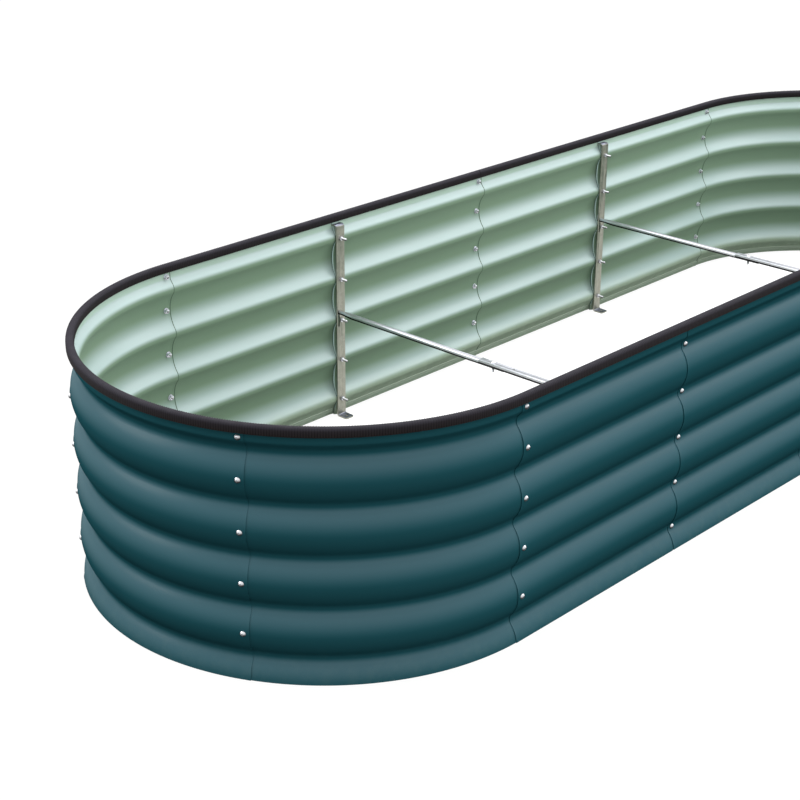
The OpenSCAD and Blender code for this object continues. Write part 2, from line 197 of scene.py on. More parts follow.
# Fine orange peel and slow blotches of a baked coat. Height is a fine noise. The swing is a slow noise
# less a half: shade is 1 plus the swing times Blotch Depth, and Gloss is the swing times its share.
def groupCoatGrain():
    tree, given, out = startGroup("coatGrain", {"Coordinates": "Vector", "Blotch Depth": "Float"},
                                  {"Shade": "Float", "Height": "Float", "Gloss": "Float"})
    swing = mathNode(tree, "SUBTRACT", noiseNode(tree, given["Coordinates"], coatLook["blotch"]), 0.5)
    shade = mathNode(tree, "ADD", times(tree, swing, given["Blotch Depth"]), 1.0)
    feed(tree, shade, out["Shade"])
    feed(tree, noiseNode(tree, given["Coordinates"], coatLook["peel"]), out["Height"])
    feed(tree, times(tree, swing, coatLook["glossSwing"]), out["Gloss"])
    return tree


# Limits run from none to full: low and foot are heights in metres, top is how far a face looks up.
# The pale wall colour serves both the dust and the painted light at the wall's foot.
dustLook = {
    "low": (0.07, 0.0), "foot": (0.055, 0.03), "top": (0.35, 0.95),
    "noise": (45.0, 6.0, 0.7), "patch": (0.42, 0.68),
    "wallColour": (0.51, 0.61, 0.48), "rubberColour": (0.2, 0.2, 0.22),
}


# Pale dust and painted light over a base colour. As a face looks up, from Upward From to Upward To,
# the base turns to the upward colour times its share: painted light, mostly a painted highlight on
# upward flanks. Dust is a patchy noise times the low band and the upward faces; in the low band it is
# partly dust and partly painted light that lightens the wall's foot. The even share at the foot is
# painted light, standing in for light bounced from the floor.
def groupDust():
    tree, given, out = startGroup(
        "settledDust",
        {"Coordinates": "Vector", "Base Color": "Color", "Dust Color": "Color", "Low Dust": "Float",
         "Top Dust": "Float", "Foot Dust": "Float", "Tint Color": "Color", "Tint Share": "Float",
         "Upward From": "Float", "Upward To": "Float"},
        {"Color": "Color", "Mask": "Float", "Upward": "Float"})
    look = dustLook
    height, facing = upPart(tree, given["Coordinates"]), lookingUp(tree)
    patch = mapRange(tree, noiseNode(tree, given["Coordinates"], look["noise"]), *look["patch"])
    # Partly dust, partly painted light: pale patches in the low band lighten the wall's foot
    low = times(tree, mapRange(tree, height, *look["low"]), given["Low Dust"])
    top = times(tree, mapRange(tree, facing, *look["top"]), given["Top Dust"])
    # Painted light: an even pale share at the foot, standing in for light bounced from the floor
    foot = times(tree, mapRange(tree, height, *look["foot"]), given["Foot Dust"])
    patchy = times(tree, mathNode(tree, "ADD", low, top), patch)
    mask = mathNode(tree, "ADD", patchy, foot, clamp=True)
    # Painted highlight: faces that look up turn to the upward colour, by its share
    upward = mapRange(tree, facing, given["Upward From"], given["Upward To"])
    paintedUpward = mixColour(tree, times(tree, upward, given["Tint Share"]), given["Base Color"],
                       given["Tint Color"])
    feed(tree, mixColour(tree, mask, paintedUpward, given["Dust Color"]), out["Color"])
    feed(tree, mask, out["Mask"])
    feed(tree, upward, out["Upward"])
    return tree


# Top, for the painted top colour, and the dark side band, a painted shade, are limits of how far a face
# looks up; the band ends with its least and greatest share
metalLook = {
    "lines": (12.0, 5.0, 0.65), "top": (0.3, 0.8), "film": (0.6, 0.2, 0.0, 0.97), "roughSwing": 0.5,
    "bump": (0.00004, 0.2),
}


# Rolled or plated metal. The swing is spangle cells and fine drawn lines, each less a half, times their
# depths; it changes shade, and half of it roughness. Faces that look up take the top colour, which is
# painted light; faces that look down take a painted shade; and sides below the band's given height
# carry a dark band of painted shade.
def groupMetalGrain():
    tree, given, out = startGroup(
        "metalGrain",
        {"Coordinates": "Vector", "Base Color": "Color", "Top Color": "Color", "Spangle Scale": "Float",
         "Spangle Depth": "Float", "Line Stretch": "Vector", "Line Depth": "Float", "Roughness": "Float",
         "Under Shade": "Float", "Under From": "Float", "Under To": "Float", "Film Top": "Float"},
        {"Color": "Color", "Roughness": "Float", "Height": "Float"})
    look = metalLook
    cells = addNode(tree, "ShaderNodeTexVoronoi", feature="F1", Vector=given["Coordinates"],
                    Scale=given["Spangle Scale"])
    tone = addNode(tree, "ShaderNodeSeparateColor", Color=cells.outputs["Color"])
    stretch = addNode(tree, "ShaderNodeVectorMath", operation="MULTIPLY")
    feed(tree, given["Coordinates"], stretch.inputs[0])
    feed(tree, given["Line Stretch"], stretch.inputs[1])
    lines = noiseNode(tree, stretch.outputs[0], look["lines"])
    swings = [times(tree, mathNode(tree, "SUBTRACT", value, 0.5), given[depth])
              for value, depth in ((tone.outputs[0], "Spangle Depth"), (lines, "Line Depth"))]
    swing = mathNode(tree, "ADD", *swings)
    height, facing = upPart(tree, given["Coordinates"]), lookingUp(tree)
    # Painted light: faces that look up take the top colour
    colour = mixColour(tree, mapRange(tree, facing, *look["top"]), given["Base Color"], given["Top Color"])
    under = mapRange(tree, facing, given["Under From"], given["Under To"], given["Under Shade"], 1.0)
    # Painted shade: a dark band on the sides below the given height, none on faces that look up
    film = times(tree, mathNode(tree, "LESS_THAN", height, given["Film Top"]),
                 mapRange(tree, facing, *look["film"]))
    shade = times(tree, under, mathNode(tree, "SUBTRACT", 1.0, film))
    shade = times(tree, mathNode(tree, "ADD", swing, 1.0), shade)
    rough = times(tree, swing, look["roughSwing"])
    feed(tree, scaled(tree, colour, shade), out["Color"])
    feed(tree, mathNode(tree, "ADD", rough, given["Roughness"], clamp=True), out["Roughness"])
    feed(tree, lines, out["Height"])
    return tree


coatGrain = groupCoatGrain()
settledDust = groupDust()
metalGrain = groupMetalGrain()


# A new material with its shader and the object coordinates of the piece
def startMaterial(name):
    material = bpy.data.materials.new(name)
    material.use_nodes = True
    tree = material.node_tree
    coords = addNode(tree, "ShaderNodeTexCoord").outputs["Object"]
    return material, tree, tree.nodes["Principled BSDF"], coords


# Places a node group and feeds its inputs by name
def placeGroup(tree, group, values):
    node = addNode(tree, "ShaderNodeGroup", node_tree=group)
    feedAll(tree, node, values)
    return node.outputs


# Bends the shader's normal by a height between 0 and 1, times the distance in metres
def addBump(tree, shader, height, distance, strength):
    bump = addNode(tree, "ShaderNodeBump", Height=height, Distance=distance, Strength=strength)
    feed(tree, bump.outputs[0], shader.inputs["Normal"])


# What the coats share, then each one's own values: outside, inside, the hem's stripe, a dark line at a
# sheet edge, the upright lip inside, and a light line at a sheet edge. Each coat's upward colour is
# painted light on faces that look up, mostly a painted highlight. The dark edge line is painted shade
# for the gap behind a loose edge; the lip's paler coat and the light edge line are painted light; the
# hem's stripe is its own paler colour, made paler still as painted bounced light. Inside, the low share
# is partly dust and partly painted light, and the foot share is painted light.
coatBase = {
    "roughness": 0.45, "specular": 0.05, "gloss": 0.9, "blotch": 0.05, "lowDust": 0.0, "footDust": 0.0,
    "tint": (0.52, 0.66, 0.66), "tintShare": 0.85, "upward": (-0.08, 0.56),
}
coats = {
    "outerCoat": {
        "colour": (0.016, 0.088, 0.108), "specular": 0.0, "gloss": 0.3, "blotch": 0.08, "lowDust": 0.02,
        "tint": (0.082, 0.19, 0.238), "tintShare": 0.48, "upward": (-0.05, 0.6)},
    "innerCoat": {"colour": (0.235, 0.34, 0.24), "lowDust": 0.3, "footDust": 0.7},
    "hemCoat": {
        "colour": (0.53, 0.63, 0.51), "roughness": 0.5, "gloss": 0.3, "blotch": 0.1,
        "tint": (0.44, 0.5, 0.42), "tintShare": 0.5, "upward": (0.1, 0.62)},
    "cutEdge": {
        "colour": (0.11, 0.17, 0.12), "roughness": 0.6, "specular": 0.0, "gloss": 0.0, "blotch": 0.2,
        "tint": (0.12, 0.18, 0.13), "tintShare": 0.5, "upward": (0.1, 0.6)},
    "lipCoat": {"colour": (0.52, 0.68, 0.58), "tint": (0.47, 0.60, 0.60)},
    "litEdge": {
        "colour": (0.62, 0.80, 0.76), "roughness": 0.5, "gloss": 0.5,
        "tint": (0.62, 0.80, 0.76), "tintShare": 0.5, "upward": (0.1, 0.6)},
}


# A baked coat: blotched colour under the painted upward colour and the dust, orange peel in the bump.
# Roughness is its own plus the gloss swing and a share of the dust and painted foot light. A clear gloss
# lies on faces that look up.
def coatMaterial(name):
    look = {**coatBase, **coats[name]}
    material, tree, shader, coords = startMaterial(name)
    grain = placeGroup(tree, coatGrain, {"Coordinates": coords, "Blotch Depth": look["blotch"]})
    dust = placeGroup(tree, settledDust, {
        "Coordinates": coords, "Base Color": scaled(tree, look["colour"], grain["Shade"]),
        "Dust Color": dustLook["wallColour"], "Low Dust": look["lowDust"], "Foot Dust": look["footDust"],
        "Tint Color": look["tint"], "Tint Share": look["tintShare"],
        "Upward From": look["upward"][0], "Upward To": look["upward"][1]})
    rough = mathNode(tree, "ADD", times(tree, dust["Mask"], coatLook["dustRoughens"]),
                     mathNode(tree, "ADD", grain["Gloss"], look["roughness"]))
    feedAll(tree, shader, {
        "Base Color": dust["Color"], "Roughness": rough, "Specular IOR Level": look["specular"],
        "Coat Weight": times(tree, dust["Upward"], look["gloss"]),
        "Coat Roughness": coatLook["clearRoughness"], "Coat IOR": coatLook["clearIor"]})
    addBump(tree, shader, grain["Height"], *coatLook["bump"])
    return material


# Under is the painted shade of faces that look down, and from where to where it fades. The top of the
# dark side band, a painted shade, is a height in metres, on the sides of a crossbar half.
metalBase = {
    "roughness": 0.30, "spangle": 0.05, "spangleScale": 500.0, "lines": 0.08, "stretch": (60.0, 60.0, 60.0),
    "under": (1.0, -0.4, 0.35), "filmTop": -1.0,
}
# A top colour is painted light on faces that look up: bluish on the braces, darker than the sides on the
# crossbars. An under shade below 1 is painted shade, deepest on the bolts and nuts.
barLook = {
    "colour": (0.86, 0.86, 0.90), "top": (0.70, 0.70, 0.76), "spangleScale": 120.0, "lines": 0.10,
    "stretch": (30.0, 2.0, 30.0), "under": (0.5, -0.3, 0.5),
}
metals = {
    "braceSteel": {
        "colour": (0.32, 0.318, 0.27), "top": (0.28, 0.29, 0.36), "roughness": 0.45, "spangle": 0.22,
        "spangleScale": 140.0, "lines": 0.15, "stretch": (70.0, 70.0, 6.0)},
    "barZinc": {**barLook, "filmTop": 0.2268},
    "nearBarZinc": {**barLook, "filmTop": 0.2292},
    "boltZinc": {"colour": (0.86, 0.87, 0.90), "roughness": 0.28, "under": (0.04, -0.35, 0.7)},
    "nutZinc": {"colour": (0.80, 0.80, 0.88), "under": (0.15, -0.7, 0.1)},
}


# Plated or galvanised steel: all metal, its colour, roughness and bump from the metal's grain, with its
# painted top colour and painted shade
def metalMaterial(name):
    look = {**metalBase, **metals[name]}
    material, tree, shader, coords = startMaterial(name)
    grain = placeGroup(tree, metalGrain, {
        "Coordinates": coords, "Base Color": look["colour"], "Top Color": look.get("top", look["colour"]),
        "Spangle Scale": look["spangleScale"], "Spangle Depth": look["spangle"],
        "Line Stretch": look["stretch"], "Line Depth": look["lines"], "Roughness": look["roughness"],
        "Under Shade": look["under"][0], "Under From": look["under"][1], "Under To": look["under"][2],
        "Film Top": look["filmTop"]})
    feedAll(tree, shader, {"Base Color": grain["Color"], "Roughness": grain["Roughness"], "Metallic": 1.0})
    addBump(tree, shader, grain["Height"], *metalLook["bump"])
    return material


rubberLook = {
    "noise": (1500.0, 2.0, 0.5), "speckle": (0.3, 0.7), "shades": (0.85, 1.2), "roughness": (0.5, 0.66),
    "specular": 0.08, "topDust": 0.05, "upward": (-0.3, 0.5), "bump": (0.0002, 0.3),
}
# The top colour is a painted highlight on the strip's upper faces; the groove's darker colour is painted
# shade in the groove floors
rubbers = {
    "stripRubber": {"colour": (0.017, 0.0135, 0.0135), "top": (0.032, 0.029, 0.037)},
    "stripGroove": {"colour": (0.005, 0.0035, 0.003), "top": (0.026, 0.024, 0.030)},
}


# Matt rubber: a fine speckle sets shade, roughness and bump; the top colour, a painted highlight, and
# the dust lie upward
def rubberMaterial(name):
    look = {**rubberLook, **rubbers[name]}
    material, tree, shader, coords = startMaterial(name)
    speckle = noiseNode(tree, coords, look["noise"])
    shade = mapRange(tree, speckle, *look["speckle"], *look["shades"])
    dust = placeGroup(tree, settledDust, {
        "Coordinates": coords, "Base Color": scaled(tree, look["colour"], shade),
        "Dust Color": dustLook["rubberColour"], "Top Dust": look["topDust"], "Tint Color": look["top"],
        "Tint Share": 1.0, "Upward From": look["upward"][0], "Upward To": look["upward"][1]})
    feedAll(tree, shader, {
        "Base Color": dust["Color"], "Specular IOR Level": look["specular"],
        "Roughness": mapRange(tree, speckle, *look["speckle"], *look["roughness"])})
    addBump(tree, shader, speckle, *look["bump"])
    return material


wallCoats = [coatMaterial(name) for name in coats]
coatOf = {name: index for index, name in enumerate(coats)}
metalOf = {name: metalMaterial(name) for name in metals}
stripCoats = [rubberMaterial(name) for name in rubbers]
print("materials done")


# Makes an object from a mesh's points in metres and its faces. Edges flatter than the angle are smooth.
def meshObject(name, verts, faces, materials, faceMaterial=None, smoothAngle=35.0):
    mesh = bpy.data.meshes.new(name)
    mesh.from_pydata(verts.tolist(), [], faces)
    for material in materials:
        mesh.materials.append(material)
    if faceMaterial is not None:
        mesh.polygons.foreach_set("material_index", np.asarray(faceMaterial, np.int32))
    mesh.polygons.foreach_set("use_smooth", np.ones(len(mesh.polygons), bool))
    mesh.set_sharp_from_angle(angle=radians(smoothAngle))
    mesh.validate()
    mesh.update()
    return addObject(name, mesh)


# Quads of a grid whose first index is the row; wrapping closes it along either index
def gridFaces(rows, cols, start=0, wrapRows=False, wrapCols=False, flip=False):
    r = np.arange(rows if wrapRows else rows - 1)
    c = np.arange(cols if wrapCols else cols - 1)
    r, c = np.meshgrid(r, c, indexing="ij")
    r1, c1 = (r + 1) % rows, (c + 1) % cols
    quads = np.stack([r * cols + c, r1 * cols + c, r1 * cols + c1, r * cols + c1], -1).reshape(-1, 4) + start
    return (quads[:, ::-1] if flip else quads).tolist()


# The two faces that close the first and the last row of a grid
def endFaces(rows, cols, flip=False):
    first, last = list(range(cols)), list(range((rows - 1) * cols, rows * cols))
    return [first[::-1], last] if flip else [first, last[::-1]]


# Steps of each stretch of the wall's outer line, and the gap in millimetres between the two last stretches
lineSteps = {"valley": 14, "crest": 22, "bend": 7, "lip": 3, "lipGap": 4.0}


# The wall's outer line from the ground to the top edge, as distance from the crests and height.
# Valley and crest arcs touch at the flank angle; the last flank runs straight, then bends by a
# curve of second degree into the upright lip.
def wallLine():
    r, depth, rc = bed["valleyRadius"], bed["depth"], crestRadius
    ground = np.arcsin((bed["pitch"] / 2 - bed["firstValley"]) / rc)
    parts = []
    a = np.linspace(ground, flank, lineSteps["crest"] // 2)[:-1]
    parts.append(np.c_[-rc * (1 - np.cos(a)), bed["firstValley"] - bed["pitch"] / 2 + rc * np.sin(a)])
    for i, z in enumerate(valleyHeights):
        a = np.linspace(-flank, flank, lineSteps["valley"] + 1)
        parts.append(np.c_[r * (1 - np.cos(a)) - depth, z + r * np.sin(a)])
        if i < len(valleyHeights) - 1:
            a = np.linspace(-flank, flank, lineSteps["crest"] + 1)[1:-1]
            parts.append(np.c_[-rc * (1 - np.cos(a)), z + bed["pitch"] / 2 + rc * np.sin(a)])
    top = parts[-1][-1]
    lipZ = top[1] - (top[0] + bed["lipInset"]) / np.tan(flank)
    end = np.array([-bed["lipInset"], lipZ])
    low = end + (top - end) / np.linalg.norm(top - end) * bed["lipBend"]
    high = end + np.array([0, bed["lipBend"]])
    t = np.linspace(0, 1, lineSteps["bend"])[:, None]
    parts.append((1 - t) ** 2 * low + 2 * t * (1 - t) * end + t ** 2 * high)
    lipHeights = np.linspace(high[1] + lineSteps["lipGap"], bed["topEdge"], lineSteps["lip"])
    parts.append(np.c_[np.full(lineSteps["lip"], -bed["lipInset"]), lipHeights])
    return np.vstack(parts)


# Points of a straight wall: along X, standing off the middle line by the radius on one side
def straightPlace(side):
    def place(along, radius):
        return along + 0 * radius, side * radius + 0 * along
    return place


# Points of a round end: along is the angle in degrees about the end's centre
def roundPlace(centre):
    def place(along, radius):
        turn = np.radians(along)
        return centre + radius * np.cos(turn), radius * np.sin(turn)
    return place


# Points along a wall from runs of (start, stop, count); a run starts with the last run's end point
def alongRuns(*runs):
    return np.concatenate([np.linspace(*run)[1 if i else 0:] for i, run in enumerate(runs)])


line = wallLine()
bendStart = line[-(lineSteps["lip"] + lineSteps["bend"]), 1]
bendEnd = line[-(lineSteps["lip"] + 1), 1]
gape = {
    "innerLift": 1.2, "outerLift": 0.35, "reach": 8.0,
    "pinch": 10.0, "pinchBehind": 6.5, "pinchReach": 20.0,
    "crestPower": 1.5, "topClear": 13.0, "topFade": 14.0,
}


# How far a loose sheet edge stands off: the lift at the edge, falling as a square to nothing
def edgeLift(along, edge, lift, reach):
    return lift * np.clip(1 - np.abs(along - edge) / reach, 0, 1) ** 2


# How far the crests are drawn in towards a brace: full at the lap, falling as a squared cosine
def pinchLift(along, lap, lift):
    return lift * np.cos(pi / 2 * np.clip(np.abs(along - lap) / gape["pinchReach"], 0, 1)) ** 2


# Share of that lift at each height: full at a crest, none in a valley, none under the edge strip
def liftShare(distance, height):
    crest = np.clip((distance + bed["depth"]) / bed["depth"], 0, 1) ** gape["crestPower"]
    return crest * np.clip((bed["topEdge"] - gape["topClear"] - height) / gape["topFade"], 0, 1)


# Radius and height of a sheet's line at every step along the wall: the bed's radius plus the line's
# distance, less the layer's offset, less the lift times its share
def liftedGrid(section, offset, lift):
    radius = bed["endRadius"] + section[None, :, 0] - offset[:, None]
    radius = radius - lift[:, None] * liftShare(section[:, 0], section[:, 1])[None, :]
    return radius, np.broadcast_to(section[None, :, 1], radius.shape)


# A sheet of the wall: outer skin at the lifted line, inner skin one thickness further in, closed along
# all four edges, and a folded hem along the inner foot. TurnOut keeps the faces outward where the
# place runs the other way.
def wallSheet(name, place, along, offset, lift, hemSpan, turnOut, firstEdge="cutEdge"):
    radius, height = liftedGrid(line, offset, lift)
    skins = []
    for thickness in (0.0, bed["sheet"]):
        x, y = place(along[:, None], radius - thickness)
        skins.append(np.stack([x, y, height], -1).reshape(-1, 3))
    rows, cols = radius.shape
    count = rows * cols
    faces = gridFaces(rows, cols, 0, flip=turnOut) + gridFaces(rows, cols, count, flip=not turnOut)
    inner = np.full((rows - 1, cols - 1), coatOf["innerCoat"])
    # Painted light: the inner skin above the lip's bend takes the lip's paler coat
    inner[:, (line[1:, 1] + line[:-1, 1]) / 2 > bendStart] = coatOf["lipCoat"]
    # Painted shade: the first and the last step along take the dark edge line; the first may take the light
    # edge line instead, a painted highlight
    inner[0], inner[-1] = coatOf[firstEdge], coatOf["cutEdge"]
    used = [coatOf["outerCoat"]] * inner.size + inner.ravel().tolist()
    ring = np.concatenate([
        np.arange(cols), np.arange(1, rows) * cols + cols - 1,
        (rows - 1) * cols + np.arange(cols - 2, -1, -1), np.arange(rows - 2, 0, -1) * cols])
    nextRing = np.roll(ring, -1)
    edge = np.stack([ring, nextRing, nextRing + count, ring + count], -1)
    faces += (edge if turnOut else edge[:, ::-1]).tolist()
    used += [coatOf["outerCoat"]] * len(edge)
    verts = np.vstack(skins)
    foldVerts, foldFaces, foldUsed = hemStrip(place, along, offset, lift, hemSpan, turnOut)
    faces += [[i + len(verts) for i in face] for face in foldFaces]
    return meshObject(name, np.vstack([verts, foldVerts]) * mm, faces, wallCoats, used + foldUsed)


hem = {
    "height": 14.5, "thick": 1.1, "lift": 0.3, "gap": 0.02, "thinShare": 0.05, "steps": 14, "stripe": 7.0,
    "clear": 1.0, "slack": 1e-6,
}


# The folded hem: a closed thin loop that follows the inner skin from just above the ground to its own
# height. Its thickness rounds off to nothing at the top, by a quarter circle.
def hemStrip(place, along, offset, lift, span, turnOut):
    keep = (along >= span[0] - hem["slack"]) & (along <= span[1] + hem["slack"])
    along = along[keep]
    z = np.linspace(hem["lift"], hem["height"], hem["steps"])
    skin = np.interp(z, line[:, 1], line[:, 0]) - bed["sheet"] - hem["gap"]
    rise = ((z - hem["height"] + hem["thick"]) / hem["thick"]).clip(0, 1)
    thick = hem["thick"] * np.maximum(np.sqrt(1 - rise ** 2), hem["thinShare"])
    loop = np.vstack([np.c_[skin, z], np.c_[skin - thick, z][::-1]])
    radius, height = liftedGrid(loop, offset[keep], lift[keep])
    x, y = place(along[:, None], radius)
    verts = np.stack([x, y, height], -1).reshape(-1, 3)
    rows, cols = radius.shape
    faces = gridFaces(rows, cols, 0, wrapCols=True, flip=turnOut) + endFaces(rows, cols, turnOut)
    middle = (loop[:, 1] + np.roll(loop[:, 1], -1)) / 2
    # Above the stripe's height the hem takes its own paler colour, made paler still as painted bounced light
    stripe = np.where(middle > hem["stripe"], coatOf["hemCoat"], coatOf["innerCoat"])
    return verts, faces, np.tile(stripe, rows - 1).tolist() + [coatOf["innerCoat"]] * 2


# A piece's name from its node: the start, then the node's second and third words with capitals
def pieceName(start, node):
    words = node.split("_")
    return start + words[1].title() + words[2].title()


# Puts a panel in the root body and hides the part's own panel
def finishPanel(obj, node):
    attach(obj, "root")
    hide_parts(node)


farPanel = {"edgeZone": 20.0, "edgeSteps": 16, "middleSteps": 34}


# Far panels lie in one layer each, by turns outside and inside. At a brace the sheet in front is
# pinched in more than the one behind; a loose edge gapes.
def buildFarPanels():
    zone, edgeSteps = farPanel["edgeZone"], farPanel["edgeSteps"]
    for n in range(1, 5):
        left = (n - 3) * bed["panelPitch"]
        layer = (n + 1) % 2
        right = left + bed["panelPitch"]
        along = alongRuns((left - halfLap, left + zone, edgeSteps),
                          (left + zone, right - zone, farPanel["middleSteps"]),
                          (right - zone, right + halfLap, edgeSteps))
        if layer == 0:
            lift = pinchLift(along, right, gape["pinch"] - gape["pinchBehind"])
            lift = lift - edgeLift(along, left - halfLap, gape["outerLift"], gape["reach"])
        else:
            lift = pinchLift(along, left, gape["pinch"])
            lift = lift + edgeLift(along, right + halfLap, gape["innerLift"], gape["reach"])
        trimmed = halfLap + hem["clear"] if layer == 0 else -halfLap
        # Inner sheets take the light edge line, a painted highlight, at their brace edge; outer sheets take
        # the dark edge line, a painted shade
        obj = wallSheet(f"wallFar{n}", straightPlace(1), along, np.full(len(along), layer * layerStep), lift,
                        (left + trimmed, right - trimmed), False, "cutEdge" if layer == 0 else "litEdge")
        finishPanel(obj, f"panel_far_{n}")


nearPanel = {"lapSteps": 12, "middleSteps": 30, "stepSteps": 9, "endSteps": 10, "stepGap": 0.6}


# Near panels overlap like tiles: outside at the left, then a smooth step in by one layer, which is a
# curve of third degree over twice the lap's thickness
def buildNearPanels():
    stepWidth = 2 * lapThick
    for n in range(1, 5):
        left = (n - 3) * bed["panelPitch"]
        right = left + bed["panelPitch"]
        stepEnd = right - halfLap - nearPanel["stepGap"]
        along = alongRuns((left - halfLap, left + halfLap, nearPanel["lapSteps"]),
                          (left + halfLap, stepEnd - stepWidth, nearPanel["middleSteps"]),
                          (stepEnd - stepWidth, stepEnd, nearPanel["stepSteps"]),
                          (stepEnd, right + halfLap, nearPanel["endSteps"]))
        t = np.clip((along - stepEnd + stepWidth) / stepWidth, 0, 1)
        offset = layerStep * t * t * (3 - 2 * t)
        lift = edgeLift(along, right + halfLap, gape["innerLift"], gape["reach"])
        lift = lift - edgeLift(along, left - halfLap, gape["outerLift"], gape["reach"])
        obj = wallSheet(f"wallNear{n}", straightPlace(-1), along, offset, lift,
                        (left + halfLap + hem["clear"], right + halfLap), True)
        finishPanel(obj, f"panel_near_{n}")


# Round panels as node, end, angle from, angle to and layer. The right end is the left end turned round.
roundPanels = [
    ("panel_left_near", -1, nearLap, 270.0, 1), ("panel_left_middle", -1, farLap, nearLap, 0),
    ("panel_left_far", -1, 90.0, farLap, 1), ("panel_right_far", 1, nearLap, 270.0, 0),
    ("panel_right_middle", 1, farLap, nearLap, 1), ("panel_right_near", 1, 90.0, farLap, 0),
]
roundPanel = {"lapSteps": 14, "middleSteps": 60}


# Round panels lie in one layer each; lengths along the wall become angles at the bed's end radius
def buildRoundPanels():
    lap, clear, reach = (np.degrees(v / bed["endRadius"]) for v in (halfLap, hem["clear"], gape["reach"]))
    lapSteps, middleSteps = roundPanel["lapSteps"], roundPanel["middleSteps"]
    for node, end, start, stop, layer in roundPanels:
        turn = 180.0 if end > 0 else 0.0
        along = alongRuns((start - lap, start + lap, lapSteps), (start + lap, stop - lap, middleSteps),
                          (stop - lap, stop + lap, lapSteps))
        loose = -gape["outerLift"] if layer == 0 else gape["innerLift"]
        lift = edgeLift(along, start - lap, loose, reach) + edgeLift(along, stop + lap, loose, reach)
        back = lap + clear if layer == 0 else -lap
        obj = wallSheet(pieceName("wall", node), roundPlace(end * halfSide), along + turn,
                        np.full(len(along), layer * layerStep), lift,
                        (start + back + turn, stop - back + turn), True)
        finishPanel(obj, node)


buildFarPanels()
buildNearPanels()
buildRoundPanels()
print("wall done")


strip = {
    "width": 14.0, "height": 16.0, "roof": 3.0, "shoulder": 5.5, "foot": 1.5, "joint": 1.0,
    "ribPitch": 4.0, "ribDepth": 0.6, "columnsPerRib": 3, "shoulderSteps": 5, "footSteps": 3,
    "smoothAngle": 60.0,
}


# Closed loop of the strip's section, as distance from its middle and height, and each point's outward
# way: away from the middle of the shoulders, level below them, and none in the slot
def stripSection():
    half, top = strip["width"] / 2, bed["topEdge"] + strip["roof"]
    low = top - strip["height"]
    s, f = strip["shoulder"], strip["foot"]
    a = np.radians(np.linspace(0, 90, strip["shoulderSteps"]))
    outer = [np.c_[half - s * (1 - np.cos(a)), top - s * (1 - np.sin(a))]]
    a = np.radians(np.linspace(90, 180, strip["shoulderSteps"]))
    outer.append(np.c_[s * (1 + np.cos(a)) - half, top - s * (1 - np.sin(a))])
    a = np.radians(np.linspace(180, 270, strip["footSteps"]))
    outer.append(np.c_[f * (1 + np.cos(a)) - half, low + f * (1 + np.sin(a))])
    slotHalf = (lapThick + 2 * bed["lapGap"]) / 2
    roof = bed["topEdge"] + bed["lapGap"]
    slot = np.array([[-slotHalf, low], [-slotHalf, roof], [slotHalf, roof], [slotHalf, low]])
    a = np.radians(np.linspace(270, 360, strip["footSteps"]))
    last = np.c_[half - f * (1 - np.cos(a)), low + f * (1 + np.sin(a))]
    points = np.vstack(outer + [slot, last])
    outward = points - [0, top - s]
    outward[points[:, 1] < top - s, 1] = 0
    outward /= np.linalg.norm(outward, axis=1, keepdims=True)
    slotStart = sum(len(p) for p in outer)
    outward[slotStart:slotStart + len(slot)] = 0
    return points, outward


# Place and outward way on the oval after a walk from the middle of the far side, clockwise from above.
# A straight leg moves the centre; a round one turns the way by the length over the reach.
def ovalPath(walk, reach):
    legs = np.cumsum([0, halfSide, pi * reach, 2 * halfSide, pi * reach])
    leg = np.searchsorted(legs[1:], walk)
    past = walk - legs[leg]
    centre = np.choose(leg, [past, halfSide, halfSide - past, -halfSide, past - halfSide])
    turn = np.choose(leg, [pi / 2, pi / 2 - past / reach, -pi / 2, -pi / 2 - past / reach, pi / 2])
    nx, ny = np.cos(turn), np.sin(turn)
    return centre + reach * nx, reach * ny, nx, ny


# Runs the section right round the oval from one side of the joint to the other. The ribs are one
# ridge and two grooved columns to each rib pitch.
def buildStrip():
    reach = bed["endRadius"] - bed["lipInset"] - lapThick / 2
    total = 4 * halfSide + 2 * pi * reach - strip["joint"]
    rows = int(total / strip["ribPitch"]) * strip["columnsPerRib"] + 1
    walk = np.linspace(strip["joint"] / 2, strip["joint"] / 2 + total, rows)
    ridge = np.where(np.arange(rows) % strip["columnsPerRib"] == 0, 0.0, -1.0) * strip["ribDepth"]
    x, y, nx, ny = ovalPath(walk, reach)
    points, outward = stripSection()
    local = points[None, :, :] + outward[None, :, :] * ridge[:, None, None]
    verts = np.stack([x[:, None] + nx[:, None] * local[..., 0], y[:, None] + ny[:, None] * local[..., 0],
                      local[..., 1]], -1).reshape(-1, 3)
    cols = len(points)
    faces = gridFaces(rows, cols, 0, wrapCols=True) + endFaces(rows, cols, True)
    # The middle grooved column of each rib takes the groove's darker colour: painted shade in the groove
    # floor
    column = np.repeat(np.arange(rows - 1) % strip["columnsPerRib"], cols)
    used = np.concatenate([np.where(column == 1, 1, 0), [0, 0]])
    obj = meshObject("edgeStrip", verts * mm, faces, stripCoats, used, smoothAngle=strip["smoothAngle"])
    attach(obj, "root")
    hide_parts("edge_trim_far", "edge_trim_near", "edge_trim_left_far", "edge_trim_left_near",
                "edge_trim_right_far", "edge_trim_right_near")


buildStrip()
print("edge strip done")


# Rounds in millimetres; points closer than the merge, in metres, are one, and angles are in degrees
steel = {
    "braceRound": 0.45, "barRound": 0.25, "roundSteps": 2, "sharpAngle": 32, "flatAngle": 1, "merge": 0.00002,
}


